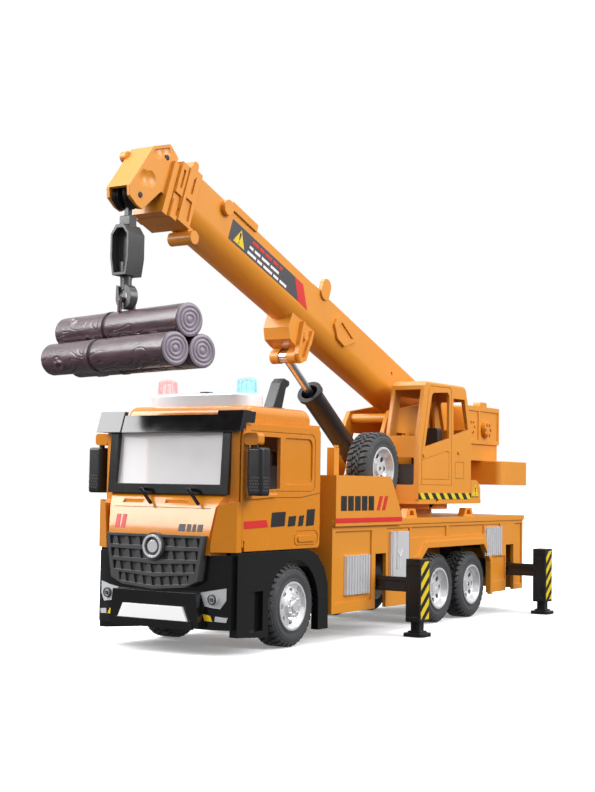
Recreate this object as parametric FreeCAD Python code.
import FreeCAD, Part
import math
import os

# Toy crane truck: a friction-drive lorry with four outriggers and a slewing crane.
# Units are millimetres. +Z is up, the cab faces -Y, and the truck's left side is +X.
# Everything is drawn from the point on the ground below the crane's slewing axis.
# save() then moves it, so that the finished part's origin is the middle of its footprint.

# ---------------------------------------------------------------- driving dimensions
FOOTPRINT_SHIFT = 96.9    # from the slewing axis forward to the middle of the footprint
WHEEL_D = 47.0            # all seven wheels share one size
TYRE_W = 16.0
WHEEL_OUT = 47.5          # outer face of the road wheels, from the centre plane
AXLE_R = 1.5
FRONT_AXLE_Y = -205.0
REAR_AXLE_Y = (-19.0, 33.0)
RUN_GAP = 0.06            # radial clearance of every running fit
GAP = 0.2                 # clearance between neighbours that slide or only stand close

BED_HALF = 49.0
BED_Y = (-165.0, 120.0)
BED_Z = (16.0, 72.0)
BED_WALL = 2.4
DECK_T = 3.0
BOARD_TOP = 99.0
BOARD_OUT = 51.0

ARM_Y = (-105.0, 95.5)    # centres of the outrigger slots
ARM_Z = (27.5, 36.5)
ARM_W = 5.2               # the left and right beams pass each other side by side
BOX_X = (70.3, 80.7)      # jack box, arm drawn out
BOX_W = 13.0
BOX_Z = (9.0, 48.0)
ARM_TRAVEL = 31.0
BEAM_END = BOX_X[0] - 2 * ARM_TRAVEL - 16.2   # drawn in, a beam still clears the other jack box
SLOT_W = 13.8
GUIDE_HALF = 38.5

SLEW_BASE_R = 28.0
SLEW_DISC_R = 39.0
SPIGOT_R = 8.0
DISC_Z = (77.2, 81.0)
TURRET_Z = 84.0
TURRET_HALF = 45.0
TURRET_Y = (-47.0, 54.0)

CAB_HALF = 45.8           # shell under the doors
DOOR_OUT = 48.2
CAB_Y = (-262.0, -176.0)
CAB_Z = (56.0, 128.0)
ROOF_TOP = 137.0

BOOM_ELEV = 20.2          # degrees above the horizontal, as the crane stands
BOOM_PIVOT = (40.0, 141.8)
BOOM_HALF = 12.0          # half width of the outer section
BOOM_TOP = 15.2           # section heights from the boom's centre line
BOOM_BOT = -15.2
BOOM_WALL = 1.6
COLLAR_U = 330.0          # front end of the outer section, along the boom from its pivot
PIN_U, PIN_W = 358.5, -19.0
ROD_U, ROD_W = 184.0, -33.5
TUBE_PIVOT = (-37.0, 98.0)
PLATE_X = (14.5, 17.5)    # the two boom cheeks of the superstructure

SPARE_OUT = 46.0          # outer face of the spare wheel
SPARE_Y, SPARE_Z = -97.0, 104.0

LOG_R = 9.0
LOG_LEN = 110.0
LOAD_YAW = -14.0          # the hook and its load hang slightly turned


# wheels and friction drive
TYRE_R = WHEEL_D / 2
RIM_R = 14.0
WHEEL_IN = WHEEL_OUT - TYRE_W
TREAD_LUGS = 24
GEAR_M = 0.8
GEAR_TEETH = 24
PINION_TEETH = 10
GEAR_X = (-5.0, -1.0)
GEAR_PITCH_R = GEAR_M * GEAR_TEETH / 2
PINION_PITCH_R = GEAR_M * PINION_TEETH / 2
FLYWHEEL_Z = TYRE_R + GEAR_PITCH_R + PINION_PITCH_R + 0.1
FLYWHEEL_R = 9.0

# chassis and load bed
RAIL_X = (15.0, 21.0)
RAIL_Z = (50.0, 56.0)
HANGER_X = (24.0, 29.0)
SCREW_X = 18.0
SCREW_Y = (-150.0, -60.0, 75.0)
ARCH = [(-62, 15), (-62, 41), (-44, 56), (48, 56), (62, 41), (62, 15)]
ARCH_OPEN = [(-58, 15), (-58, 39.5), (-42.5, 51.8), (46.5, 51.8), (58, 39.5), (58, 15)]
RECESSES = (((-161, -117), (22, 65)), ((-97, -66), (30, 66)), ((-64, -12), (59, 66)),
            ((-8, 49), (59, 66)), ((51, 78), (59, 66)), ((64.5, 87), (24, 42)),
            ((104, 117.5), (20, 66)))
VENTS = (((-149.3, -119.3), (26.2, 50.2), 9), ((52.5, 80.5), (43.0, 64.0), 8))
HATCH = ((-92.6, -67.0), (33.8, 63.6))
RECESS_D = 1.0

# stabiliser jacks
FOOT_HALF = 7.0
LEG_HALF = 3.0
LEG_CAVITY = 3.1

# driver's cab; outlines run front to back or across, then up
GLASS_Z = (92.4, 121.0)   # clear height of the windscreen
NOSE = [(-262, 54), (-271, 54), (-271, 65), (-268, 80), (-262.5, 87), (-258, 128)]
NOSE_IN = [(-262, 50), (-266, 50), (-266, 65), (-264, 80), (-260, 87), (-255.6, 125.5)]
DOOR_Y = (-257.9, -178.5)
DOOR_Z = (56.2, 126.0)
DOOR_X = (46.0, DOOR_OUT)
HINGE_R = 1.1
PIN_R = 0.6
HINGE = (47.1, -257.9)    # door hinge line in plan
HINGE_Z = (62.0, 122.0)   # the barrel turns between two lugs on the corner post
GRILLE_OUT = [(-34, 64.6), (34, 64.6), (30, 40), (22, 36.4), (0, 34.6), (-22, 36.4), (-30, 40)]
GRILLE_ROWS = ((60.6, 31.6, 0.0), (53.8, 30.6, 0.6), (47.0, 29.0, 1.2), (40.6, 24.5, 1.8))
GRILLE_TEETH = 8
LAMP = [(28.6, 33.8), (43.6, 36.6), (43.6, 30), (40.5, 25.4), (31.5, 26.6)]
INDICATOR = [(30.2, 22.4), (35.0, 21.6), (36.4, 18.6), (31.6, 18.8)]
FOG = [(38.0, 21.4), (44.4, 20.8), (43.8, 18.2), (37.8, 18.6)]
BEACON_Y = -228.0
BEACON_X = 28.5

# superstructure
OP_X = (20.0, 45.0)
OP_Z = (TURRET_Z, 165.0)
HOUSING_Y = (55.4, 117.0)
DRUM_Y, DRUM_Z = 91.6, 137.0
DRUM_SHAFT_R = 2.5

# telescopic boom and its head
MIDDLE = (BOOM_HALF - BOOM_WALL - GAP, BOOM_TOP - BOOM_WALL - GAP, BOOM_BOT + BOOM_WALL + GAP)
INNER = (MIDDLE[0] - BOOM_WALL - GAP, MIDDLE[1] - BOOM_WALL - GAP, MIDDLE[2] + BOOM_WALL + GAP)
COLLAR2_U = COLLAR_U + 6.3
HEAD_HALF = 8.0
HEAD_WALL = 2.0
DISH_R = 8.4              # scooped hollows in the head's cheeks
DISH_DEPTH = 1.5
UPPER_U, UPPER_W = 345.4, 12.6
UPPER_R = 7.2
SHEAVE_R = 7.4

# hook
HOOK_Z = 192.6
SWIVEL_R = 1.6

X_AXIS = FreeCAD.Vector(1, 0, 0)
Y_AXIS = FreeCAD.Vector(0, 1, 0)
Z_AXIS = FreeCAD.Vector(0, 0, 1)
ORIGIN = FreeCAD.Vector(0, 0, 0)

os.makedirs("parts", exist_ok=True)


# ---------------------------------------------------------------- helpers
def vec(x, y, z):
    return FreeCAD.Vector(x, y, z)


def box(x, y, z):
    """Box from three (low, high) pairs."""
    return Part.makeBox(x[1] - x[0], y[1] - y[0], z[1] - z[0], vec(x[0], y[0], z[0]))


def cyl(radius, start, length, axis):
    return Part.makeCylinder(radius, length, vec(*start), axis)


def ring(outer, inner, start, length, axis):
    return cyl(outer, start, length, axis).cut(cyl(inner, start, length, axis))


def prism(points, span, plane):
    """Extrude a closed polygon: plane 'yz' runs along X, 'xz' along Y, 'xy' along Z."""
    low, high = span
    place = {"yz": lambda a, b: vec(low, a, b),
             "xz": lambda a, b: vec(a, low, b),
             "xy": lambda a, b: vec(a, b, low)}[plane]
    along = {"yz": X_AXIS, "xz": Y_AXIS, "xy": Z_AXIS}[plane]
    corners = [place(a, b) for a, b in points]
    face = Part.Face(Part.makePolygon(corners + corners[:1]))
    return face.extrude(along * (high - low))


def fuse(shapes):
    whole = shapes[0]
    for shape in shapes[1:]:
        whole = whole.fuse(shape)
    return whole.removeSplitter()


def cut(shape, tools):
    for tool in tools:
        shape = shape.cut(tool)
    return shape


def mirror(shape):
    """The same shape on the other side of the truck's centre plane."""
    return shape.mirror(ORIGIN, X_AXIS)


def both(shape):
    return [shape, mirror(shape)]


def moved(shape, x, y, z):
    copy = shape.copy()
    copy.translate(vec(x, y, z))
    return copy


def turned(shape, centre, axis, angle):
    copy = shape.copy()
    copy.rotate(vec(*centre), axis, angle)
    return copy


def rounded(shape, radius, along, keep=None):
    """Fillet the straight edges that run along an axis and that keep() accepts."""
    edges = []
    for edge in shape.Edges:
        if len(edge.Vertexes) != 2:
            continue
        a, b = edge.Vertexes[0].Point, edge.Vertexes[1].Point
        direction = b.sub(a)
        if direction.Length < 1e-6 or edge.Curve.TypeId != "Part::GeomLine":
            continue
        direction.normalize()
        middle = (a + b) * 0.5
        if abs(abs(direction.dot(along)) - 1) < 1e-6 and (keep is None or keep(middle)):
            edges.append(edge)
    return shape.makeFillet(radius, edges)


def rounded_box(x, y, z, radius, along=Z_AXIS):
    return rounded(box(x, y, z), radius, along)


def revolve(points, centre, axis):
    """Turn an outline of (along, radius) points about an axis through centre."""
    side = Y_AXIS if axis == X_AXIS else X_AXIS
    corners = [vec(*centre) + axis * a + side * r for a, r in points]
    face = Part.Face(Part.makePolygon(corners + corners[:1]))
    return face.revolve(vec(*centre), axis, 360)


def save(name, solids):
    shape = solids[0] if len(solids) == 1 else Part.makeCompound(solids)
    moved(shape, 0, FOOTPRINT_SHIFT, 0).exportStep("parts/" + name + ".step")


# ---------------------------------------------------------------- wheels


def tyre(outer_x, y, z):
    """Tyre with rounded shoulders, a rim seat and tread grooves; outer_x is its outer face."""
    w, r = TYRE_W, TYRE_R
    outline = [(0, RIM_R), (0, r - 3.4), (-0.9, r - 1.2), (-2.4, r), (-w + 2.4, r),
               (-w + 0.9, r - 1.2), (-w, r - 3.4), (-w, RIM_R)]
    body = revolve(outline, (outer_x, y, z), X_AXIS)
    groove_w, groove_d, reach = 1.6, 1.4, 5.2
    grooves = []
    for i in range(TREAD_LUGS):
        for side, phase in ((0, 0.0), (1, 0.5)):
            x0 = outer_x - reach + 0.2 if side == 0 else outer_x - w - 0.2
            g = box((x0, x0 + reach), (y - groove_w / 2, y + groove_w / 2),
                    (z + r - groove_d, z + r + 1))
            grooves.append(turned(g, (0, y, z), X_AXIS, (i + phase) * 360 / TREAD_LUGS))
    return body.cut(Part.makeCompound(grooves))


def rear_rim(outer_x, y, z):
    """Dished rim with a ring of round holes and a hub boss."""
    w = TYRE_W
    outline = [(0, RIM_R), (0, RIM_R - 1.3), (-4.4, RIM_R - 3.0), (-5.4, 4.6), (-2.6, 4.2),
               (-2.6, AXLE_R), (-w + 1, AXLE_R), (-w + 1, 4.5), (-7.4, 5.0), (-6.6, RIM_R - 1.6),
               (-w, RIM_R - 1.6), (-w, RIM_R)]
    rim = revolve(outline, (outer_x, y, z), X_AXIS)
    hole = cyl(1.8, (outer_x - w, y, z + 8.3), w, X_AXIS)
    holes = [turned(hole, (0, y, z), X_AXIS, i * 45) for i in range(8)]
    return rim.cut(Part.makeCompound(holes))


def front_rim(outer_x, y, z):
    """Domed steering-wheel rim with oval vents and a ring of wheel nuts."""
    w = TYRE_W
    outline = [(0, RIM_R), (0, RIM_R - 1.3), (-2.2, RIM_R - 2.6), (-1.0, 7.6), (0.6, 6.6),
               (0.8, 3.4), (1.8, 3.0), (1.8, 0), (-1.2, 0), (-1.2, AXLE_R), (-w + 1, AXLE_R),
               (-w + 1, 4.5), (-4.0, 5.0), (-4.2, RIM_R - 1.6), (-w, RIM_R - 1.6), (-w, RIM_R)]
    rim = revolve(outline, (outer_x, y, z), X_AXIS)
    vents = []
    for i in range(8):
        slot = box((outer_x - w, outer_x + 1), (y - 1.5, y + 1.5), (z + 8.6, z + 10.2))
        vents.append(turned(slot, (0, y, z), X_AXIS, i * 45))
    rim = rim.cut(Part.makeCompound(vents))
    nut = cyl(0.6, (outer_x + 0.5, y, z + 5.2), 0.9, X_AXIS)
    return fuse([rim] + [turned(nut, (0, y, z), X_AXIS, i * 45) for i in range(8)])


def wheelset(prefix, y, make_rim, blind_end):
    save(prefix + "_tyres", both(tyre(WHEEL_OUT, y, TYRE_R)))
    save(prefix + "_rims", both(make_rim(WHEEL_OUT, y, TYRE_R)))
    half = WHEEL_OUT - blind_end
    return cyl(AXLE_R, (-half, y, TYRE_R), 2 * half, X_AXIS)


# ---------------------------------------------------------------- friction drive


def gear(teeth, centre, x_span, first_angle):
    """Spur gear with straight-sided teeth; first_angle points at the middle of a tooth."""
    pitch_r = GEAR_M * teeth / 2
    root, tip = pitch_r - 1.2 * GEAR_M, pitch_r + 0.85 * GEAR_M
    step = 2 * math.pi / teeth
    points = []
    for i in range(teeth):
        mid = math.radians(first_angle) + i * step
        for r, offset in ((root, -0.25), (tip, -0.10), (tip, 0.10), (root, 0.25)):
            a = mid + offset * step
            points.append((centre[0] + r * math.cos(a), centre[1] + r * math.sin(a)))
    return prism(points, x_span, "yz")


def friction_drive():
    y = REAR_AXLE_Y[0]
    driven = gear(GEAR_TEETH, (y, TYRE_R), GEAR_X, 90)
    driven = driven.cut(cyl(AXLE_R, (GEAR_X[0], y, TYRE_R), 4, X_AXIS))
    pinion = gear(PINION_TEETH, (y, FLYWHEEL_Z), GEAR_X, -90 + 180 / PINION_TEETH)
    shaft = cyl(1.2, (-11.9, y, FLYWHEEL_Z), 23.8, X_AXIS)
    disc = cyl(FLYWHEEL_R, (0.5, y, FLYWHEEL_Z), 6.0, X_AXIS)
    save("flywheel", [fuse([pinion, shaft, disc])])
    return driven


def running_gear():
    save("front_axle", [wheelset("front", FRONT_AXLE_Y, front_rim, 1.2)])
    driven = friction_drive()
    for name, y in zip(("rear_1", "rear_2"), REAR_AXLE_Y):
        axle = wheelset(name, y, rear_rim, 2.6)
        solids = [axle, driven] if name == "rear_1" else [axle]
        save(name + "_axle", solids)


# ---------------------------------------------------------------- chassis


def arm_centre(y, side):
    """Left beams (side +1) run in front of the slot's centre and right beams behind it."""
    return y - side * (ARM_W / 2 + 0.4)


def outrigger_guide(y):
    """Cross sleeve with one channel for each of its two beams."""
    sleeve = box((-GUIDE_HALF, GUIDE_HALF), (y - 8.2, y + 8.2), (ARM_Z[0] - 2.4, RAIL_Z[0]))
    sleeve = sleeve.cut(box((-GUIDE_HALF, GUIDE_HALF), (y - 8.2, y + 8.2),
                            (ARM_Z[1] + 2.4, RAIL_Z[0] - 3)).cut(
        box((-4, 4), (y - 8.2, y + 8.2), (ARM_Z[1], RAIL_Z[0]))))
    for side in (1, -1):
        c = arm_centre(y, side)
        half = ARM_W / 2 + 0.1
        channel = box((-GUIDE_HALF - 1, GUIDE_HALF + 1), (c - half, c + half),
                      (ARM_Z[0] - 0.1, ARM_Z[1] + 0.1))
        sleeve = sleeve.cut(channel)
    return sleeve


def chassis_frame():
    rails = both(box(RAIL_X, (CAB_Y[0] + 8, BED_Y[1] - 3), RAIL_Z))
    members = [box((-RAIL_X[1], RAIL_X[1]), (y, y + 8), RAIL_Z) for y in (-254, -169, -60, 10, 109)]
    hangers = []
    for y in (FRONT_AXLE_Y,) + REAR_AXLE_Y:
        cross = box((-HANGER_X[1], HANGER_X[1]), (y - 5, y + 5), (RAIL_Z[0], RAIL_Z[1]))
        leg = box(HANGER_X, (y - 5, y + 5), (TYRE_R - 5, RAIL_Z[0]))
        hangers += [cross] + both(leg)
    y = REAR_AXLE_Y[0]
    cheeks = both(box((9.0, 11.7), (y - 4, y + 4), (FLYWHEEL_Z - 5, RAIL_Z[0])))
    risers = []
    for screw_y in SCREW_Y:
        risers += both(cyl(3.4, (SCREW_X, screw_y, RAIL_Z[1]), 69 - RAIL_Z[1], Z_AXIS))
    frame = fuse(rails + members + hangers + cheeks + risers)
    bores = [cyl(AXLE_R + RUN_GAP, (-40, y, TYRE_R), 80, X_AXIS)
             for y in (FRONT_AXLE_Y,) + REAR_AXLE_Y]
    bores.append(cyl(1.2 + RUN_GAP, (-12, REAR_AXLE_Y[0], FLYWHEEL_Z), 24, X_AXIS))
    frame = cut(frame, bores)
    holes = []
    for screw_y in SCREW_Y:
        holes += both(cyl(1.3, (SCREW_X, screw_y, RAIL_Z[0] - 1), 21, Z_AXIS))
    save("chassis_frame", [cut(frame, holes)])
    save("beam_guides", [outrigger_guide(y) for y in ARM_Y])


def chassis_screws():
    """Pan-head screws that pull the bed down onto the frame."""
    screws = []
    for y in SCREW_Y:
        head = cyl(2.4, (SCREW_X, y, RAIL_Z[0] - 1.6), 1.6, Z_AXIS)
        cross = fuse([box((SCREW_X - 1.4, SCREW_X + 1.4), (y - 0.3, y + 0.3), (46, 49.2)),
                      box((SCREW_X - 0.3, SCREW_X + 0.3), (y - 1.4, y + 1.4), (46, 49.2))])
        shank = cyl(1.2, (SCREW_X, y, RAIL_Z[0]), 20.5, Z_AXIS)
        screws += both(fuse([head, shank]).cut(cross))
    save("chassis_screws", screws)


# ---------------------------------------------------------------- truck bed


def bed_body():
    outer = box((-BED_HALF, BED_HALF), BED_Y, BED_Z)
    lip = box((-BED_HALF - 0.8, BED_HALF + 0.8), (BED_Y[0], BED_Y[1] + 0.8), (68.4, 72.0))
    flare = both(prism(ARCH, (BED_HALF - 1, BED_HALF + 1.6), "yz"))
    body = fuse([outer, rounded(lip, 0.8, X_AXIS)] + flare)
    inner = box((-BED_HALF + BED_WALL, BED_HALF - BED_WALL),
                (BED_Y[0] + BED_WALL, BED_Y[1] - BED_WALL), (BED_Z[0] - 1, BED_Z[1] - DECK_T))
    cuts = [inner, prism(ARCH_OPEN, (-60, 60), "yz")]
    for y_span, z_span in RECESSES:
        cuts += both(box((BED_HALF - RECESS_D, BED_HALF + 2), y_span, z_span))
    for y_span, z_span in [vent[:2] for vent in VENTS] + [HATCH]:
        cuts += both(box((BED_HALF - RECESS_D, BED_HALF + 2), y_span, z_span))
    for y in ARM_Y:
        cuts += both(box((30, 60), (y - SLOT_W / 2, y + SLOT_W / 2), (BED_Z[0] - 1, 50.2)))
    cuts.append(box((-RAIL_X[1] - 0.3, RAIL_X[1] + 0.3), (BED_Y[0] - 1, BED_Y[0] + 4),
                    (RAIL_Z[0] - 0.3, RAIL_Z[1] + 0.3)))
    for y in SCREW_Y:
        cuts += both(cyl(1.2, (SCREW_X, y, 68), 2.6, Z_AXIS))
    body = cut(body, cuts)
    seat = cyl(SLEW_BASE_R, (0, 0, BED_Z[1]), 5.0, Z_AXIS)
    stay = prism([(-8, 0), (8, 0), (5, 6.0), (-5, 6.0)], (0, 5), "yz")
    notch = prism([(-3.4, 1.6), (3.4, 1.6), (2, 4.6), (-2, 4.6)], (2.5, 6), "yz")
    stay = stay.cut(notch)
    stays = []
    for y in (-52.0, 36.0):
        stays += both(moved(stay, 38.0, y, BED_Z[1]))
    post = fuse([box((36, 41), (-151, -145), (BED_Z[1], 116)),
                 cyl(1.5, (40, -147, 116), 1.6, Z_AXIS)])
    rack = fuse([box((24.6, 27.6), (-109, -85), (BED_Z[1], 98)),
                 cyl(12.0, (24.6, SPARE_Y, SPARE_Z), 3.0, X_AXIS),
                 cyl(3.0, (24.6, SPARE_Y, SPARE_Z), 13.0, X_AXIS)])
    body = fuse([body, seat, post, rack] + stays)
    save("bed_body", [body.cut(cyl(SPIGOT_R + RUN_GAP, (0, 0, 60), 30, Z_AXIS))])


def side_vents():
    """Ribbed grilles and a flat hatch let into both sides of the bed."""
    base_x = BED_HALF - RECESS_D
    vents = []
    for y_span, z_span, ribs in VENTS:
        plate = box((base_x, base_x + 0.8), y_span, z_span)
        pitch = (y_span[1] - y_span[0]) / ribs
        bars = []
        for i in range(ribs):
            start = y_span[0] + (i + 0.22) * pitch
            bars.append(box((base_x, base_x + 1.9), (start, start + 0.56 * pitch), z_span))
        vents += both(fuse([plate] + bars))
    (y0, y1), z_span = HATCH
    leaf = box((base_x, base_x + 1.2), (y0, y1), z_span)
    hinge_bars = [box((base_x, base_x + 1.8), (y, y + 1.4), z_span) for y in (y0, y0 + 2.6)]
    handle = cyl(0.8, (base_x + 1.2, y0 + 9.0, z_span[0] + 6), 24, Z_AXIS)
    return vents + both(fuse([leaf, handle] + hinge_bars))


def deck_side_boards():
    """Boards on the deck's edges beside the spare wheel, joined by a front wall."""
    outline = [(-164.6, BED_Z[1]), (-80.5, BED_Z[1]), (-80.5, 74.0), (-96, BOARD_TOP), (-164.6, BOARD_TOP)]
    apron = box((BED_HALF + 0.8, BOARD_OUT), (-164.6, -80.5), (BED_Z[1] - 3.8, BED_Z[1] + 0.1))
    wall = box((-BED_HALF + 2, BED_HALF - 2), (-164.6, -162.2), (BED_Z[1], BOARD_TOP))
    boards = both(prism(outline, (BED_HALF - 2.4, BOARD_OUT), "yz"))
    save("deck_side_boards", [fuse(boards + both(apron) + [wall])])


# ---------------------------------------------------------------- outriggers


def outrigger(name, y, side):
    c = arm_centre(y, 1)
    beam = box((BEAM_END, BOX_X[0] + 1), (c - ARM_W / 2, c + ARM_W / 2), ARM_Z)
    flutes = [box((BEAM_END - 1, BOX_X[0]), (c - ARM_W, c - ARM_W / 2 + 0.8),
                  (ARM_Z[0] + 2.6, ARM_Z[1] - 2.6)),
              box((BEAM_END - 1, BOX_X[0]), (c + ARM_W / 2 - 0.8, c + ARM_W),
                  (ARM_Z[0] + 2.6, ARM_Z[1] - 2.6))]
    jack_box = rounded_box(BOX_X, (y - BOX_W / 2, y + BOX_W / 2), BOX_Z, 0.8)
    panel = box((BOX_X[0] + 1.6, BOX_X[1] - 1.6), (y - BOX_W / 2, y - BOX_W / 2 + 0.6),
                (BOX_Z[0] + 3, BOX_Z[1] - 4))
    arm = fuse([cut(beam, flutes), jack_box])
    x = (BOX_X[0] + BOX_X[1]) / 2
    cavity = box((x - LEG_CAVITY, x + LEG_CAVITY), (y - LEG_CAVITY, y + LEG_CAVITY),
                 (BOX_Z[0] - 1, BOX_Z[0] + 26))
    arm = cut(arm, [panel, cavity])
    leg = box((x - LEG_HALF, x + LEG_HALF), (y - LEG_HALF, y + LEG_HALF), (2.0, BOX_Z[0] + 16))
    rib = box((x - 0.9, x + 0.9), (y - LEG_HALF - 1, y - LEG_HALF + 0.7), (3.5, BOX_Z[0] - 0.5))
    leg = leg.cut(rib)
    plate = rounded_box((x - FOOT_HALF, x + FOOT_HALF), (y - FOOT_HALF, y + FOOT_HALF), (0, 2.2), 2.5)
    collar = rounded_box((x - 4.6, x + 4.6), (y - 4.6, y + 4.6), (2.2, 3.4), 1.0)
    foot = fuse([leg, plate, collar])
    if side < 0:
        # the right-hand arm is the left-hand one turned half a turn about the slot's centre
        arm = turned(arm, (0, y, 0), Z_AXIS, 180)
        foot = turned(foot, (0, y, 0), Z_AXIS, 180)
    save("outrigger_arm_" + name, [arm])
    save("jack_foot_" + name, [foot])


def outriggers():
    for end, y in zip(("front", "rear"), ARM_Y):
        outrigger(end + "_left", y, 1)
        outrigger(end + "_right", y, -1)


# ---------------------------------------------------------------- cab


def pillar():
    """Corner post beside the windscreen, ahead of the door, with its two hinge lugs."""
    post = prism([(40.4, -262), (46.4, -259.8), (46.4, -259.4), (45.8, -259.2), (45.8, -258),
                  (43.6, -256.0), (38.6, -259.6)], (56, 127.5), "xy")
    lugs = []
    for z in (HINGE_Z[0] - 3.6, HINGE_Z[1] + GAP):
        lugs += [cyl(HINGE_R, (HINGE[0], HINGE[1], z), 3.4, Z_AXIS),
                 box((44.0, HINGE[0]), (HINGE[1] - HINGE_R, HINGE[1] + HINGE_R), (z, z + 3.4))]
    pin = cyl(PIN_R + RUN_GAP, (HINGE[0], HINGE[1], 56), 72, Z_AXIS)
    return fuse([post] + lugs).cut(pin)


def cab_shell():
    """Nose, rear wall and roof frame in one moulding, open below."""
    body = prism(NOSE + [(CAB_Y[1], 128), (CAB_Y[1], 56), (-262, 56)], (-CAB_HALF, CAB_HALF), "yz")
    hollow = prism(NOSE_IN + [(CAB_Y[1] - 3, 125.5), (CAB_Y[1] - 3, 50)], (-43, 43), "yz")
    # in plan the nose narrows from the pillars to the grille
    taper = prism([(34.8, -280), (60, -280), (60, -258), (45.8, -258), (40.4, -262), (35.2, -271)],
                  (50, 130), "xy")
    taper_in = prism([(33, -280), (60, -280), (60, -256), (43.1, -256), (38.4, -260.4), (33, -268)],
                     (50, 130), "xy")
    body = cut(body, both(taper))
    hollow = cut(hollow, both(taper_in))
    openings = [box((-38.6, 38.6), (-275, -252), (88.4, 121.6)), box((-30, 30), (-240, -190), (125, 129)),
                box((-29, -14.5), (-275, -265), (81.7, 83.9)), box((0.8, 16.5), (-275, -265), (81.7, 83.9))]
    openings += both(box((40, 47), (-250, -186), (60, 122)))
    shell = cut(body, [hollow] + openings)
    deflector = prism([(34.4, -270.2), (36.4, -271.6), (48.2, -264), (48.2, -259.2), (43, -259.2)],
                      (55.8, 83), "xy")
    lean = prism([(30, 50), (34.8, 50), (39.6, 81), (46.4, 83.2), (46.4, 90), (30, 90)],
                 (-280, -262.4), "xz")
    shell = fuse([shell] + both(pillar()) + both(deflector.cut(lean)))
    save("cab_shell", [shell])


def cab_roof():
    """Raised roof cap that covers the sound board; it has pockets for the cells."""
    cap = box((-44, 44), (-248, -181), (128, ROOF_TOP))
    cap = rounded(cap, 6.5, X_AXIS, lambda p: p.z > 130)
    cap = rounded(cap, 5.0, Y_AXIS, lambda p: p.z > 130)
    void = box((-30, 30), (-241, -189), (127, ROOF_TOP - 2))
    shaft = cyl(2.6, (0, BEACON_Y, ROOF_TOP - 3), 4, Z_AXIS)
    save("cab_roof", [cut(cap, [void, shaft])])


def outline_groove(y_span, z_span, radius):
    """A shallow line with rounded corners, cut into the door's outer face."""
    outer = rounded_box((DOOR_OUT - 0.5, DOOR_OUT + 1), y_span, z_span, radius, X_AXIS)
    inner = rounded_box((DOOR_OUT - 1, DOOR_OUT + 2), (y_span[0] + 0.7, y_span[1] - 0.7),
                        (z_span[0] + 0.7, z_span[1] - 0.7), radius - 0.7, X_AXIS)
    return outer.cut(inner)


def door(side_name, flip):
    """Cab door with its hinge barrel, window, pressed lines and the arm of its mirror."""
    panel = box(DOOR_X, DOOR_Y, DOOR_Z)
    panel = rounded(panel, 3.0, X_AXIS, lambda p: p.y > -200)
    window = prism([(-252, 91.5), (-248, 89.5), (-222, 90.5), (-222, 119.5), (-250, 119.5), (-252, 117)],
                   (40, 50), "yz")
    rear_light = rounded_box((DOOR_OUT - 0.9, 49), (-219, -187.5), (93, 119.5), 4.0, X_AXIS)
    ledge = prism([(-256, 84.5), (-227, 86), (-226, 88), (-256, 88)], (DOOR_OUT - 1, DOOR_OUT + 1.4), "yz")
    grip = rounded_box((DOOR_OUT - 1.0, DOOR_OUT + 0.7), (-203, -184), (60, 63.6), 1.7, X_AXIS)
    lines = [outline_groove((-254.8, -184.2), (88.6, 122.4), 4.5),
             outline_groove((-206.5, -180.5), (57.6, 66.4), 4.0)]
    mirror_arm = rounded_box((DOOR_OUT, 57.5), (-258.4, -252.4), (114.2, 120.9), 2.0, Y_AXIS)
    leaf = cut(panel, [window, rear_light] + lines)
    barrel = cyl(HINGE_R, (HINGE[0], HINGE[1], HINGE_Z[0]), HINGE_Z[1] - HINGE_Z[0], Z_AXIS)
    pin = cyl(PIN_R, (HINGE[0], HINGE[1], HINGE_Z[0] - 3), HINGE_Z[1] - HINGE_Z[0] + 6, Z_AXIS)
    clear = HINGE_R + GAP
    notches = [box((45, 50), (-260, HINGE[1] + clear), (DOOR_Z[0] - 1, HINGE_Z[0])),
               box((45, 50), (-260, HINGE[1] + clear), (HINGE_Z[1], DOOR_Z[1] + 1))]
    leaf = cut(leaf, notches)
    leaf = fuse([leaf, barrel, pin, rounded(ledge, 1.0, Y_AXIS, lambda p: p.x > 49), grip, mirror_arm])
    save("door_" + side_name, [mirror(leaf) if flip else leaf])


def cab_interior():
    """Floor tray with two seats, the dashboard and the steering wheel."""
    tray = box((-42.8, 42.8), (-255, -179.2), (56, 58.4))
    seats = []
    for x in (-20.0, 20.0):
        seats.append(rounded_box((x - 12, x + 12), (-222, -198), (58.4, 74), 2.0, Y_AXIS))
        seats.append(rounded_box((x - 12, x + 12), (-198.5, -190), (58.4, 104), 2.0, Y_AXIS))
        seats.append(rounded_box((x - 6, x + 6), (-197, -191), (103, 112), 2.0, Y_AXIS))
    dash = prism([(-257, 58.4), (-242, 58.4), (-242, 76), (-246, 84), (-257, 84)], (-40, 40), "yz")
    dash = cut(dash, both(prism([(34, -280), (60, -280), (60, -250), (42, -250)], (50, 90), "xy")))
    wheel = Part.makeTorus(7.5, 1.2, vec(20, -236, 84), Y_AXIS)
    spoke = box((12.6, 27.4), (-236.8, -235.2), (83.2, 84.8))
    column = cyl(1.4, (20, -246, 84), 10.0, Y_AXIS)
    bracket = box((18.6, 21.4), (-248, -244), (80, 85))
    save("cab_interior", [fuse([tray, dash, wheel, spoke, column, bracket] + seats)])


def windscreen():
    """Clear pane, the black frame round it and the opening that is seen through."""
    pane = prism([(-262.7, 88.6), (-261.2, 88.6), (-257.6, 121.4), (-259.1, 121.4)], (-38.4, 38.4), "yz")
    rim = prism([(-264.8, 87.0), (-261.0, 87.0), (-257.2, 122.6), (-262.4, 122.6)], (-42.0, 42.0), "yz")
    sight = prism([(-270, GLASS_Z[0]), (-250, GLASS_Z[0]), (-250, GLASS_Z[1]), (-270, GLASS_Z[1])],
                  (-36.8, 36.8), "yz")
    return pane, rim, sight


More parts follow.
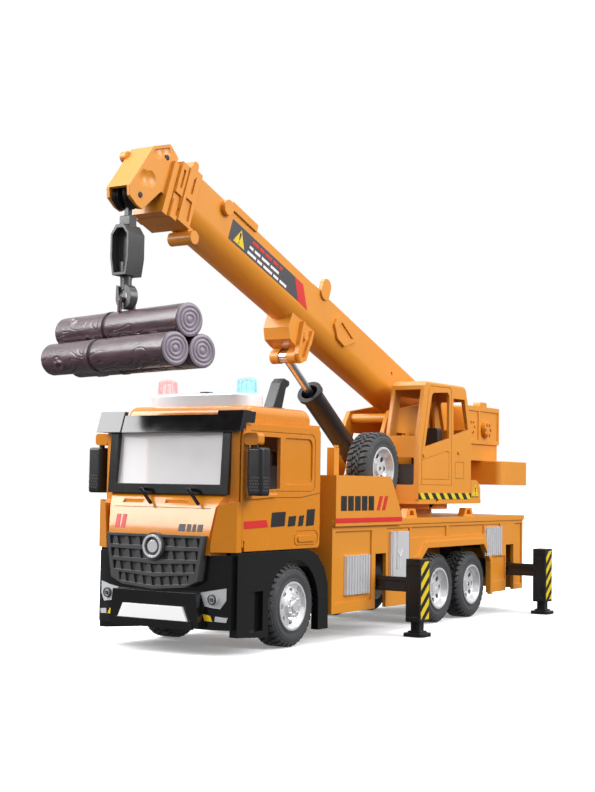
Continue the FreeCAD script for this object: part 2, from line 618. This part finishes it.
def visor():
    """Sun visor: a leaning band, raised at both ends, that returns along the cab's sides."""
    band = prism([(-265.4, 121.2), (-258.9, 121.2), (-258.1, 128.0), (-250.0, 128.0), (-250.0, 129.6),
                  (-258.0, 131.0), (-262.0, 131.0)], (-46, 46), "yz")
    end = prism([(-266.0, 121.4), (-262.4, 121.4), (-258.4, 133.2), (-261.8, 133.2)], (33, 50.4), "yz")
    side = prism([(-264.8, 123.0), (-252.5, 123.0), (-250.4, 132.6), (-260, 133.2)], (48.4, 50.4), "yz")
    door_room = box((45, 52), (DOOR_Y[0] - 2.4, -240), (110, DOOR_Z[1] + 0.4))
    return fuse([band] + both(cut(fuse([end, side]), [door_room])))


def wipers():
    arms = []
    for x in (-14.5, 18.5):
        blade = prism([(x, 89.6), (x + 1.4, 90.4), (x + 9.0, 81.6), (x + 7.6, 80.8)],
                      (-270.4, -269.2), "xz")
        arms.append(fuse([blade, box((x - 0.2, x + 1.6), (-270.0, -263.6), (88.6, 90.2))]))
    return arms


def cab_glazing():
    pane, rim, sight = windscreen()
    body_side = prism(NOSE + [(CAB_Y[1], 128), (CAB_Y[1], 56), (-262, 56)], (-60, 60), "yz")
    frame = cut(rim, [sight, pane, body_side.cut(sight)] + both(pillar()))
    cab_block = body_side.common(box((-CAB_HALF, CAB_HALF), (-300, 0), (0, 200)))
    shade = cut(visor(), [pane, cab_block] + both(pillar()))
    save("windscreen", [pane])
    save("sun_visor", [fuse([frame, shade] + wipers())])


def grille():
    """Dark grille: four channels that sag towards the middle, each with a row of teeth."""
    plate = prism(GRILLE_OUT, (-274.4, -268.6), "xz")
    plate = plate.cut(box((-40, 40), (-271, -262), (53.9, 70)))
    channels, teeth = [], []
    for z, half, sag in GRILLE_ROWS:
        channels.append(prism([(-half, z + 2.5), (0, z + 2.5 - sag), (half, z + 2.5), (half - 0.8, z - 2.3),
                               (0, z - 2.3 - sag), (-half + 0.8, z - 2.3)], (-275, -272.6), "xz"))
        pitch = 2 * half / GRILLE_TEETH
        for i in range(GRILLE_TEETH):
            x = -half + (i + 0.5) * pitch
            middle = z - sag * (1 - abs(x) / half)
            teeth.append(prism([(x - 2.2, middle - 2.6), (x + 2.2, middle - 2.6), (x + 1.0, middle + 2.8),
                                (x - 1.0, middle + 2.8)], (-273.9, -272.4), "xz"))
    emblem_seat = cyl(7.6, (0, -275.2, 58), 3.2, Y_AXIS)
    save("grille", [fuse([cut(plate, channels), emblem_seat] + teeth)])


def bright_trim():
    """Plain ring badge, the bumper insert and the bright panels on the bed's sides."""
    badge = [ring(6.4, 5.2, (0, -276.4, 58), 1.2, Y_AXIS), cyl(3.4, (0, -275.8, 58), 0.6, Y_AXIS)]
    insert = prism([(-20.5, 26), (20.5, 26), (24, 18.4), (-24, 18.4)], (-275.2, -273.8), "xz")
    save("bright_trim", badge + [insert] + side_vents())


def cab_base():
    """Black lower moulding: bumper, lamp housings, steps and front mudguards."""
    z0, z1 = 14.0, 54.0
    front = prism([(-46, -260), (-46, -265), (-36, -268.6), (36, -268.6), (46, -265), (46, -260)],
                  (z0, z1), "xy")
    bumper = prism([(-29, 33.6), (29, 33.6), (31, 15), (-31, 15)], (-273.8, -268), "xz")
    lower_lip = prism([(-25.5, 18.4), (25.5, 18.4), (27.5, 14), (-27.5, 14)], (-275.6, -273), "xz")
    grille_bay = prism(GRILLE_OUT, (-280, -268.6), "xz")
    side_outline = [(-262, 15), (-262, 55.6), (-190, 55.6), (-180, 52), (-172, 44), (-168, 34),
                    (-167.2, 8), (-176, 8), (-232, 8), (-262, 10)]
    side = prism(side_outline, (43.2, 48.0), "yz")
    side = side.cut(cyl(26.5, (40, FRONT_AXLE_Y, TYRE_R), 12, X_AXIS))
    side = side.cut(box((40, 50), (FRONT_AXLE_Y - 26.5, FRONT_AXLE_Y + 26.5), (0, TYRE_R)))
    step = box((45.2, 49), (-249.5, -237), (12, 34))
    trim = box((DOOR_X[0] - 0.2, 50), (-263, -160), (55.4, 57))
    inner_arch = ring(28.3, 26.5, (29.4, FRONT_AXLE_Y, TYRE_R), 13.9, X_AXIS)
    inner_arch = inner_arch.cut(box((0, 50), (-260, -150), (-10, TYRE_R + 4)))
    crossbar = box((-43.5, 43.5), (-262, -254.2), (44, 50))
    side = cut(side, [step, trim])
    base = fuse([front, bumper, lower_lip, crossbar] + both(side) + both(inner_arch))
    cuts = [grille_bay] + both(prism(LAMP, (-280, -263.5), "xz"))
    cuts += both(prism(INDICATOR, (-280, -265.5), "xz")) + both(prism(FOG, (-280, -263.5), "xz"))
    save("cab_base", [cut(base, cuts)])


def lamp_front(outline, depth):
    """A lamp that fills its socket and follows the bumper's swept-back corner."""
    block = prism(outline, (-272, -263.5 if depth else -265.5), "xz")
    sweep = prism([(20, -280), (60, -280), (60, -259.6), (46, -265.4), (36, -269.2), (20, -269.2)],
                  (0, 60), "xy")
    return block.cut(sweep)


def lamps():
    head = lamp_front(LAMP, True)
    bulb = cyl(2.6, (36.6, -269.9, 30.4), 2.6, Y_AXIS)
    fog = lamp_front(FOG, True)
    save("front_lamps", both(fuse([head, bulb])) + both(fog) + both(lamp_front(INDICATOR, False)))


def roof_lights():
    bar = rounded_box((-36, 36), (-241, -215), (ROOF_TOP, 144.2), 11.0)
    tops = [f for f in bar.Edges if f.BoundBox.ZMin > 144.1]
    bar = bar.makeFillet(1.2, tops)
    bar = cut(bar, [cyl(4.0, (0, BEACON_Y, 139.4), 6, Z_AXIS), cyl(2.6, (0, BEACON_Y, 136), 5, Z_AXIS)])
    save("light_bar", [bar])
    lens = cyl(5.8, (BEACON_X, BEACON_Y, 144.2), 9.6, Z_AXIS)
    lens = lens.makeFillet(1.0, [e for e in lens.Edges if e.BoundBox.ZMin > 153])
    save("beacons", both(fuse([lens, cyl(6.6, (BEACON_X, BEACON_Y, 144.2), 1.2, Z_AXIS)])))
    button = fuse([cyl(3.9, (0, BEACON_Y, 142.6), 3.4, Z_AXIS), cyl(2.5, (0, BEACON_Y, 135.4), 8, Z_AXIS)])
    save("sound_button", [button])


def sound_unit():
    """Board with its chip, the speaker and three button cells, hung below the cab roof."""
    board = box((-28, 28), (-239, -191), (129.0, 130.2))
    switch = box((-3, 3), (BEACON_Y - 3, BEACON_Y + 3), (130.2, 133.6))
    speaker = cyl(9.0, (15, -205, 130.2), 3.4, Z_AXIS)
    leds = [cyl(1.2, (x, BEACON_Y, 130.2), 3.0, Z_AXIS) for x in (-BEACON_X + 3, BEACON_X - 3)]
    save("sound_board", [fuse([board, switch, speaker] + leds)])
    cells = [cyl(5.7, (x, -205, 130.3), 3.2, Z_AXIS) for x in (-22, -9.8)] + \
            [cyl(5.7, (-16, -195.2, 130.3), 3.2, Z_AXIS)]
    save("button_cells", cells)


def exhaust_stack():
    pipe = prism([(-199, 137), (-189, 137), (-184.5, 150.6), (-181, 152.4), (-181, 155), (-187, 156.4),
                  (-190.6, 153.6)], (20, 27), "yz")
    foot = box((19, 28), (-201, -187), (ROOF_TOP, 138.4))
    save("exhaust_stack", [fuse([rounded(pipe, 1.0, X_AXIS, lambda p: p.z > 145), foot])])


def mirror_heads():
    """A deep mirror housing hangs below the arm on each door."""
    head = rounded_box((51.4, 61.4), (-260.4, -251.0), (86.6, 112.8), 2.4, Z_AXIS)
    head = rounded(head, 1.4, Y_AXIS)
    neck = cyl(1.6, (54.4, -256.1, 112), 2.2, Z_AXIS)
    head = fuse([head, neck])
    save("mirror_head_left", [head])
    save("mirror_head_right", [mirror(head)])


def cab():
    cab_shell()
    cab_roof()
    door("left", False)
    door("right", True)
    cab_interior()
    cab_glazing()
    grille()
    bright_trim()
    cab_base()
    lamps()
    roof_lights()
    sound_unit()
    exhaust_stack()
    mirror_heads()


def spare_wheel():
    save("spare_tyre", [tyre(SPARE_OUT, SPARE_Y, SPARE_Z)])
    rim = rear_rim(SPARE_OUT, SPARE_Y, SPARE_Z)
    save("spare_rim", [rim.cut(cyl(3.0, (20, SPARE_Y, SPARE_Z), 17.61, X_AXIS))])


# ---------------------------------------------------------------- superstructure
def turret_base():
    """Slewing disc, deck plate, side skirts and the two cheeks that carry the boom."""
    disc = cyl(SLEW_DISC_R, (0, 0, DISC_Z[0]), DISC_Z[1] - DISC_Z[0], Z_AXIS)
    spigot = fuse([cyl(SPIGOT_R, (0, 0, 69.2), 9, Z_AXIS),
                   cyl(SPIGOT_R + 1.6, (0, 0, 66.0), 2.8, Z_AXIS),
                   cyl(SPIGOT_R, (0, 0, 66.0), 4, Z_AXIS)])
    plate = rounded_box((-TURRET_HALF, TURRET_HALF), TURRET_Y, (DISC_Z[1], TURRET_Z), 3.0)
    nose = box((-PLATE_X[1], PLATE_X[1]), (-64, -40), (DISC_Z[1], TURRET_Z))
    skirt_right = prism([(-44, TURRET_Z), (51, TURRET_Z), (51, 90), (46, 98), (-44, 98)],
                        (-TURRET_HALF, -TURRET_HALF + 2), "yz")
    skirt_left = prism([(35.4, TURRET_Z), (51, TURRET_Z), (51, 92), (48.5, 96), (44, 98), (35.4, 98)],
                       (TURRET_HALF - 2, TURRET_HALF), "yz")
    outline = [(-64, TURRET_Z), (-64, 92), (-42, 138), (-37, 145), (-30, 146), (10, 152), (28, 157),
               (50, 157), (54, 150), (54, 113), (88.8, 113), (88.8, 95), (60, 95), (54, 90),
               (54, TURRET_Z)]
    cheek = prism(outline, PLATE_X, "yz")
    window = prism([(-48, 92), (-30, 92), (-14, 130), (-32, 130)], (10, 20), "yz")
    boss = cyl(9.5, (PLATE_X[0], BOOM_PIVOT[0], BOOM_PIVOT[1]), PLATE_X[1] - PLATE_X[0] + 1, X_AXIS)
    cheek = fuse([cheek.cut(window), boss])
    rest = cyl(3.2, (-19, -34, 140), 38, X_AXIS)
    tie = box((-PLATE_X[1], PLATE_X[1]), (44, 54), (TURRET_Z, 110))
    base = fuse([disc, spigot, plate, nose, skirt_right, skirt_left, rest, tie] + both(cheek))
    bores = [cyl(4.0 + RUN_GAP, (-30, BOOM_PIVOT[0], BOOM_PIVOT[1]), 60, X_AXIS),
             cyl(3.0 + RUN_GAP, (-30, TUBE_PIVOT[0], TUBE_PIVOT[1]), 60, X_AXIS)]
    save("turret_base", [cut(base, bores)])


def pressed_line(outer, inner):
    """A shallow closed line in the outer face of the operator's cab."""
    face = OP_X[1]
    return prism(outer, (face - 0.4, face + 1), "yz").cut(prism(inner, (face - 1, face + 2), "yz"))


def operator_cab():
    side = [(-47, OP_Z[0]), (-47, 129), (-39, 162), (-35, OP_Z[1]), (22, OP_Z[1]), (25.6, 162),
            (36, 133), (35, 109), (35, OP_Z[0])]
    inner = [(-45, OP_Z[0] - 1), (-45, 129), (-37.2, 161), (-35, 163), (21.5, 163), (23.8, 161),
             (34, 132.6), (33, 109), (33, OP_Z[0] - 1)]
    shell = rounded(prism(side, OP_X, "yz"), 1.6, Y_AXIS, lambda p: p.z > 164)
    shell = shell.cut(prism(inner, (OP_X[0] + 2, OP_X[1] - 2), "yz"))
    front_glass = prism([(22.6, 127), (42.4, 127), (42.4, 159), (22.6, 159)], (-60, -30), "xz")
    low_glass = rounded_box((24.5, 41.5), (-50, -44), (94, 112.5), 1.5, Y_AXIS)
    door_light = prism([(-37.8, 119.6), (-0.8, 126.8), (-1.0, 156.6), (-3.8, 159.0), (-25.4, 157.4),
                        (-27.8, 155.6)], (40, 50), "yz")
    rear_light = prism([(6.2, 129.0), (29.6, 134.0), (23.6, 155.4), (5.6, 155.4)], (40, 50), "yz")
    far_light = prism([(-36, 128), (24, 128), (20, 155), (-30, 155)], (15, 23), "yz")
    back_light = box((24, 41), (20, 40), (134, 154))
    shell = cut(shell, [front_glass, low_glass, door_light, rear_light, far_light, back_light])
    door_seam = pressed_line([(-42.6, 93.6), (-42.6, 116.4), (-32.0, 160.6), (-29.6, 162.0), (0.4, 162.6),
                              (2.6, 160.4), (3.4, 93.6)],
                             [(-42.0, 94.2), (-42.0, 116.4), (-31.5, 160.3), (-29.3, 161.4), (0.2, 162.0),
                              (2.0, 160.2), (2.8, 94.2)])
    door_panel = pressed_line([(-42.0, 111.6), (-40.4, 111.2), (-5.4, 117.8), (-0.6, 117.2), (-0.6, 97.6),
                               (-42.0, 97.6)],
                              [(-42.6, 111.0), (-40.4, 110.7), (-5.4, 117.3), (-1.1, 116.8), (-1.1, 98.1),
                               (-42.6, 98.1)])
    hatch = pressed_line([(9.0, 98.4), (9.0, 110.6), (23.4, 110.6), (23.4, 98.4)],
                         [(9.5, 98.9), (9.5, 110.1), (22.9, 110.1), (22.9, 98.9)])
    knobs = [cyl(1.5, (OP_X[1] - 0.2, y, z), 1.0, X_AXIS) for y, z in ((-39.4, 114.2), (14.2, 117.4))]
    shell = cut(shell, [door_seam, door_panel, hatch])
    save("operator_cab", [fuse([shell] + knobs)])


def operator_seat():
    cushion = rounded_box((25, 40), (-24, -6), (TURRET_Z, 106), 1.5, Y_AXIS)
    back = rounded_box((25, 40), (-9, -2), (100, 134), 2.5, Y_AXIS)
    console = box((25, 40), (-42, -36), (TURRET_Z, 108)).fuse(box((25, 40), (-37, -20), (TURRET_Z, 86)))
    lever = cyl(1.0, (36, -38, 108), 9, Z_AXIS)
    save("operator_seat", [fuse([cushion, back, console, lever])])


def winch_housing():
    upper = rounded_box((-30, 30), HOUSING_Y, (125.5, 154), 1.5, X_AXIS)
    lower = box((-28.6, 28.6), (HOUSING_Y[0], HOUSING_Y[1] - 1), (113, 127))
    lug = rounded_box((24, 30), (82, 94), (150, 157.4), 2.0, X_AXIS)
    shell = fuse([upper, lower, lug])
    void = box((-27, 27), (HOUSING_Y[0] + 2, HOUSING_Y[1] - 3), (115, 151.5))
    bays = []
    for y_span in ((57.5, 79.5), (82.5, 114.5)):
        bays += both(box((29.2, 31), y_span, (128.5, 150.5)))
    shell = cut(shell, [void] + bays)
    vent = fuse([cyl(1.0, (29.0, 68.5 + 4.2 * math.cos(a), 138.5 + 4.2 * math.sin(a)), 1.8, X_AXIS)
                 for a in [math.radians(60 * i) for i in range(6)]] +
                [cyl(4.2, (29.0, 68.5, 138.5), 1.0, X_AXIS)])
    shell = fuse([shell] + both(vent))
    bore = cyl(DRUM_SHAFT_R + RUN_GAP, (-40, DRUM_Y, DRUM_Z), 80, X_AXIS)
    save("winch_housing", [shell.cut(bore)])


def winch_drum():
    """Flanged drum on a shaft with a finger knob at each end."""
    shaft = cyl(DRUM_SHAFT_R, (-30, DRUM_Y, DRUM_Z), 60, X_AXIS)
    core = cyl(6.0, (-22, DRUM_Y, DRUM_Z), 44, X_AXIS)
    flange = cyl(10.0, (20.5, DRUM_Y, DRUM_Z), 1.5, X_AXIS)
    knob = cyl(6.0, (29.5, DRUM_Y, DRUM_Z), 3.0, X_AXIS)
    lobes = [cyl(1.3, (32.0, DRUM_Y + 4.2 * math.cos(a), DRUM_Z + 4.2 * math.sin(a)), 1.4, X_AXIS)
             for a in [math.radians(60 * i) for i in range(6)]]
    grip = fuse([knob] + lobes)
    save("winch_drum", [fuse([shaft, core] + both(flange) + both(grip))])


def counterweight():
    block = box((-45, 45), (89.0, 140.0), (95.0, 112.8))
    block = rounded(block, 6.0, Z_AXIS)
    save("counterweight", [block])


# ---------------------------------------------------------------- boom
def on_boom(shape):
    """Place a shape drawn with the boom lying along -Y and its pivot at the origin."""
    shape = turned(shape, (0, 0, 0), X_AXIS, -BOOM_ELEV)
    return moved(shape, 0, BOOM_PIVOT[0], BOOM_PIVOT[1])


def boom_section(half, top, bottom, u_span):
    """Box section with a half-round underside, between two distances from the pivot."""
    upper = box((-half, half), (-u_span[1], -u_span[0]), (bottom + half, top))
    belly = cyl(half, (0, -u_span[1], bottom + half), u_span[1] - u_span[0], Y_AXIS)
    return upper.fuse(belly).removeSplitter()


def boom_tube(half, top, bottom, wall, u_span):
    outer = boom_section(half, top, bottom, u_span)
    inner = boom_section(half - wall, top - wall, bottom + wall, (u_span[0] - 1, u_span[1] + 1))
    return outer.cut(inner)


def collar(half, top, bottom, bore, u_span, notch_z):
    """Square-shouldered end frame of a boom section, with shallow side pockets."""
    frame = box((-half, half), (-u_span[1], -u_span[0]), (bottom, top))
    hole = boom_section(*bore, (u_span[0] - 1, u_span[1] + 1))
    frame = frame.cut(hole)
    mid = (u_span[0] + u_span[1]) / 2
    pockets = both(box((half - 1.2, half + 1), (-mid - 1.0, -mid + 1.0), (notch_z + 4, top - 4)))
    pockets += both(prism([(-mid - 3.4, notch_z), (-mid + 2.4, notch_z), (-mid + 3.4, bottom + 3),
                           (-mid - 2.4, bottom + 3)], (half - 1.2, half + 1), "yz"))
    return cut(frame, pockets)


def boom_outer():
    tube = boom_tube(BOOM_HALF, BOOM_TOP, BOOM_BOT, BOOM_WALL, (12.0, COLLAR_U))
    plug = boom_section(BOOM_HALF, BOOM_TOP, BOOM_BOT, (12.0, 16.0))
    root = fuse([cyl(11.0, (-BOOM_HALF, 0, 0), 2 * BOOM_HALF, X_AXIS),
                 box((-BOOM_HALF, BOOM_HALF), (-16, 0), (-11, 11))])
    trunnion = cyl(4.0, (-PLATE_X[1] - 1, 0, 0), 2 * PLATE_X[1] + 2, X_AXIS)
    mouth = (BOOM_HALF - BOOM_WALL, BOOM_TOP - BOOM_WALL, BOOM_BOT + BOOM_WALL)
    end = collar(13.2, 16.4, -18.4, mouth, (COLLAR_U - 11, COLLAR_U), -3.0)
    ear = rounded_box((-13.2, 13.2), (-COLLAR_U + 1, -COLLAR_U + 6), (10, 20.5), 2.0, X_AXIS)
    ear = ear.cut(boom_section(*mouth, (300, COLLAR_U + 1)))
    peg = fuse([cyl(3.9, (-2.0, -314.0, -21.0), 16.4, X_AXIS),
                box((0, 10), (-316, -312), (-21, BOOM_BOT + 1))])
    rail = both(box((9.0, BOOM_HALF + 1.2), (-287, -259), (13.6, 18.2)))
    boss = both(cyl(4.6, (11.0, -291.5, 11.4), 4.0, X_AXIS))
    hump = prism([(-190, BOOM_TOP - 0.5), (-184, 18), (-168, 18), (-160, BOOM_TOP - 0.5)], (-9, 9), "yz")
    tab = both(rounded_box((10.6, BOOM_HALF + 1.4), (-179.5, -169.5), (11.5, 25.5), 4.6, X_AXIS))
    block = prism([(-200, -8), (-201, -21), (-197, -27.5), (-190, -28.6), (-178.4, -28.6), (-172, -20),
                   (-172, -8)], (-9.5, 9.5), "yz")
    barrels = both(fuse([cyl(4.4, (3.2, -ROD_U, ROD_W), 6.3, X_AXIS),
                         box((3.2, 9.5), (-ROD_U - 2.6, -ROD_U + 4.4), (ROD_W, -28.0))]))
    block = fuse([block] + barrels)
    hollow = boom_section(*mouth, (16, COLLAR_U))
    block = block.cut(hollow)
    pin = cyl(2.0, (-9.0, -ROD_U, ROD_W), 18, X_AXIS)
    latch = prism([(-190, -12), (-187.6, -12), (-186.2, -33), (-183.6, -35.2), (-180.8, -33),
                   (-178.2, -13), (-176, -13), (-178.2, -34), (-183.6, -38.4), (-188.8, -34)],
                  (9.4, 12.4), "yz")
    latch_pin = cyl(2.6, (8.5, -184.4, -20), 4.2, X_AXIS)
    latch_web = box((8.5, 10.2), (-188, -179), (-34, -14))
    scoop = prism([(-157, 2), (-156, 7), (-151, 11.5), (-146, 12), (-127, 3.6), (-140, -6), (-150, -5)],
                  (11, 13.6), "yz")
    scoop_cut = prism([(-152, 2), (-149, 7.5), (-132, 3.4), (-141, -1.5)], (12.6, 15), "yz")
    outer = fuse([tube, plug, root, trunnion, end, ear, peg, hump, block, pin, latch, latch_pin,
                  latch_web] + rail + boss + tab + both(scoop.cut(scoop_cut)))
    screw = both(cyl(1.2, (11.0, -72.0, 5.5), 4, X_AXIS))
    save("boom_outer", [on_boom(cut(outer, screw))])


def boom_middle():
    tube = boom_tube(*MIDDLE, BOOM_WALL, (132.0, COLLAR2_U))
    mouth = (MIDDLE[0] - BOOM_WALL, MIDDLE[1] - BOOM_WALL, MIDDLE[2] + BOOM_WALL)
    end = collar(12.2, 15.4, -19.6, mouth, (COLLAR_U + 0.2, COLLAR2_U), -4.0)
    save("boom_middle", [on_boom(fuse([tube, end]))])


def boom_inner():
    """Innermost section with the head that carries the sheaves."""
    tube = boom_tube(*INNER, BOOM_WALL, (150.0, COLLAR2_U + 4))
    root_u = (COLLAR2_U + 0.3, COLLAR2_U + 4.8)
    root = box((-10.4, 10.4), (-root_u[1], -root_u[0]), (-19.5, 13.0))
    outline = [(-336.8, 17.5), (-346, 21), (-358.3, 12), (-368.4, -18.5), (-366, -23.5), (-359, -25.5),
               (-354, -25.3), (-343.4, -8), (-336.8, -8)]
    cheek = prism(outline, (HEAD_HALF - HEAD_WALL, HEAD_HALF), "yz")
    scoops = [Part.makeSphere(DISH_R, vec(HEAD_HALF + DISH_R - DISH_DEPTH, -u, w))
              for u, w in ((358.8, -8.6), (354.0, -6.4), (353.8, 12.0), (348.6, 15.4))]
    cheek = cut(cheek, scoops)
    cover = prism([(-358.3, 12), (-368.4, -18.5), (-366.4, -18.5), (-356.6, 11), (-346.2, 18.6),
                   (-338, 15.8), (-338, 18.1), (-346, 21)], (-HEAD_HALF, HEAD_HALF), "yz")
    slot = box((-2.7, 2.7), (-355.4, -337.6), (4.8, 30))
    knob = cyl(3.0, (-HEAD_HALF - 3.2, -359.5, 6.5), 4.0, X_AXIS)
    head = fuse([root, cover, knob] + both(cheek))
    bores = [cyl(1.6 + RUN_GAP, (-12, -PIN_U, PIN_W), 24, X_AXIS),
             cyl(1.6 + RUN_GAP, (-12, -UPPER_U, UPPER_W), 24, X_AXIS)]
    hollow = boom_section(INNER[0] - BOOM_WALL, INNER[1] - BOOM_WALL, INNER[2] + BOOM_WALL,
                          (COLLAR_U, root_u[1] - 2))
    save("boom_inner", [on_boom(cut(fuse([tube, head]), [hollow, slot] + bores))])


def sheave_profile(radius, x, u, w, half):
    """Grooved pulley wheel, drawn in the boom's own frame."""
    outline = [(-half, 0), (-half, radius), (-half + 0.5, radius), (0, radius - 2.0),
               (half - 0.5, radius), (half, radius), (half, 0)]
    return revolve(outline, (x, -u, w), X_AXIS)


def sheaves():
    lower = [sheave_profile(SHEAVE_R, x, PIN_U, PIN_W, 2.0) for x in (-3.7, 3.7)]
    pin = cyl(1.6, (-HEAD_HALF - 0.6, -PIN_U, PIN_W), 2 * HEAD_HALF + 1.2, X_AXIS)
    upper = sheave_profile(UPPER_R, 0, UPPER_U, UPPER_W, 2.2)
    upper_pin = cyl(1.6, (-HEAD_HALF, -UPPER_U, UPPER_W), 2 * HEAD_HALF, X_AXIS)
    save("lower_sheaves", [on_boom(fuse(lower + [pin]))])
    save("upper_sheave", [on_boom(fuse([upper, upper_pin]))])


# ---------------------------------------------------------------- luffing cylinder
def along_luff():
    """Upper pin position, cylinder length and its slope in the YZ plane."""
    a = math.radians(BOOM_ELEV)
    y = BOOM_PIVOT[0] - ROD_U * math.cos(a) + ROD_W * math.sin(a)
    z = BOOM_PIVOT[1] + ROD_U * math.sin(a) + ROD_W * math.cos(a)
    dy, dz = y - TUBE_PIVOT[0], z - TUBE_PIVOT[1]
    return y, z, math.hypot(dy, dz), math.degrees(math.atan2(dz, -dy))


def luff_cylinder():
    """Black barrel hinged to the cheeks and a bright rod on the boom's bracket."""
    _, _, length, slope = along_luff()
    tube_len, bore_r = 96.0, 5.6
    barrel = cyl(7.0, (0, -tube_len, 0), tube_len - 4, Y_AXIS)
    gland = cyl(8.6, (0, -tube_len, 0), 3.0, Y_AXIS)
    foot = fuse([cyl(5.6, (-6.4, 0, 0), 12.8, X_AXIS), box((-6, 6), (-9, 0), (-5, 5))])
    trunnion = cyl(3.0, (-PLATE_X[1], 0, 0), 2 * PLATE_X[1], X_AXIS)
    spacer = cyl(5.0, (-PLATE_X[0] + GAP, 0, 0), 2 * PLATE_X[0] - 2 * GAP, X_AXIS)
    bore = cyl(bore_r, (0, -tube_len - 1, 0), tube_len - 12, Y_AXIS)
    barrel = fuse([barrel, gland, foot, trunnion, spacer]).cut(bore)
    rod_len = 100.0
    rod = cyl(2.6, (0, -length, 0), rod_len, Y_AXIS)
    eye = cyl(4.0, (-2.8, -length, 0), 5.6, X_AXIS)
    rod = fuse([rod, eye]).cut(cyl(2.0 + RUN_GAP, (-5, -length, 0), 10, X_AXIS))
    placed = []
    for shape in (barrel, rod):
        shape = turned(shape, (0, 0, 0), X_AXIS, -slope)
        placed.append(moved(shape, 0, TUBE_PIVOT[0], TUBE_PIVOT[1]))
    save("luff_barrel", [placed[0]])
    save("luff_rod", [placed[1]])


# ---------------------------------------------------------------- hook and load
def head_pin():
    a = math.radians(BOOM_ELEV)
    return (BOOM_PIVOT[0] - PIN_U * math.cos(a) + PIN_W * math.sin(a),
            BOOM_PIVOT[1] + PIN_U * math.sin(a) + PIN_W * math.cos(a))


def hook_block():
    """Link that hangs from the sheave pin, with the eight-sided block below it."""
    y, z = head_pin()
    link = fuse([cyl(3.4, (-1.4, y, z), 2.8, X_AXIS), box((-1.4, 1.4), (y - 1.6, y + 1.6), (230, z))])
    clevis = fuse([rounded_box((-3.4, 3.4), (y - 3, y + 3), (229, 237), 1.2, X_AXIS),
                   box((-2.8, 2.8), (y - 4, y + 4), (228, 232))])
    outline = [(-2.8, 231.5), (-6.2, 226.5), (-6.2, 213.5), (-4.6, 204), (4.6, 204), (6.2, 213.5),
               (6.2, 226.5), (2.8, 231.5)]
    inset = [(-2.0, 229.6), (-5.0, 225.9), (-5.0, 213.7), (-3.6, 205.4), (3.6, 205.4), (5.0, 213.7),
             (5.0, 225.9), (2.0, 229.6)]
    block = prism(outline, (y - 6.8, y + 6.8), "xz")
    pockets = [prism(inset, (y - 7, y - 1.2), "xz"), prism(inset, (y + 1.2, y + 7), "xz")]
    body = cut(fuse([block, link, clevis]), pockets + [cyl(1.6 + RUN_GAP, (-5, y, z), 10, X_AXIS)])
    swivel = fuse([cyl(SWIVEL_R + RUN_GAP, (0, y, 200), 10, Z_AXIS),
                   cyl(3.0 + RUN_GAP, (0, y, 206.5), 3.2, Z_AXIS)])
    cup = cyl(4.2, (0, y, 204), 7.4, Z_AXIS)
    save("hook_block", [cut(body.fuse(cup.common(block)), [swivel])])
    shank = fuse([cyl(SWIVEL_R, (0, y, 199), 9, Z_AXIS), cyl(3.0, (0, y, 206.6), 3.0, Z_AXIS),
                  cyl(2.8, (0, y, 196.5), 7.4, Z_AXIS)])
    bend = ring(6.8, 3.2, (0.4, y - 2.4, HOOK_Z), 4.8, Y_AXIS)
    throat = prism([(-4.0, HOOK_Z + 0.6), (1.6, HOOK_Z), (-1.8, 206), (-9.0, 206)], (y - 4, y + 4), "xz")
    tip = prism([(-6.4, HOOK_Z), (-3.6, HOOK_Z + 0.4), (-4.2, 198.4), (-6.2, 199.4)],
                (y - 2.4, y + 2.4), "xz")
    neck = prism([(-1.6, 198.2), (2.8, 203.9), (-2.8, 203.9), (-2.4, 198.2)], (y - 2.4, y + 2.4), "xz")
    hook = fuse([bend.cut(throat), tip, shank, neck])
    save("hook", [turned(hook, (0, y, 0), Z_AXIS, LOAD_YAW)])


def log_bundle():
    """Three logs in a pyramid, moulded with two straps and a lifting loop."""
    y, _ = head_pin()
    top_z = HOOK_Z - 6.8 - 0.3 - LOG_R
    spread = LOG_R - 0.12     # the logs are moulded slightly into each other
    low_z = top_z - spread * math.sqrt(3)
    half = LOG_LEN / 2
    logs = [cyl(LOG_R, (-half, y, top_z), LOG_LEN, X_AXIS)]
    logs += [cyl(LOG_R, (-half, y + side * spread, low_z), LOG_LEN, X_AXIS) for side in (-1, 1)]
    core = box((-half + 3, half - 3), (y - 4.6, y + 4.6), (low_z - 0.4, top_z - 3))
    straps = [cyl(LOG_R + 0.5, (-8, y, top_z), 3.6, X_AXIS),
              cyl(LOG_R + 0.5, (-11, y - spread, low_z), 3.6, X_AXIS),
              cyl(LOG_R + 0.5, (-11, y + spread, low_z), 3.6, X_AXIS)]
    bar_z = HOOK_Z - 3.2 + 1.5
    loop = [cyl(1.3, (0.4, y - 5.4, bar_z), 10.8, Y_AXIS)]
    for side in (-1, 1):
        leg_y = y + side * 4.6
        loop.append(box((-1.0, 1.8), (leg_y - 1.1, leg_y + 1.1), (top_z + 5, bar_z)))
    bundle = fuse(logs + [core] + straps + loop)
    keep_out = cyl(7.1, (0.4, y - 3.2, HOOK_Z), 6.4, Y_AXIS)
    bundle = bundle.cut(keep_out.cut(box((-3, 3), (y - 6, y + 6), (HOOK_Z - 3.2, HOOK_Z + 2))))
    save("log_bundle", [turned(bundle, (0, y, 0), Z_AXIS, LOAD_YAW)])


running_gear()
chassis_frame()
chassis_screws()
bed_body()
deck_side_boards()
outriggers()
cab()
spare_wheel()
turret_base()
operator_cab()
operator_seat()
winch_housing()
winch_drum()
counterweight()
boom_outer()
boom_middle()
boom_inner()
sheaves()
luff_cylinder()
hook_block()
log_bundle()
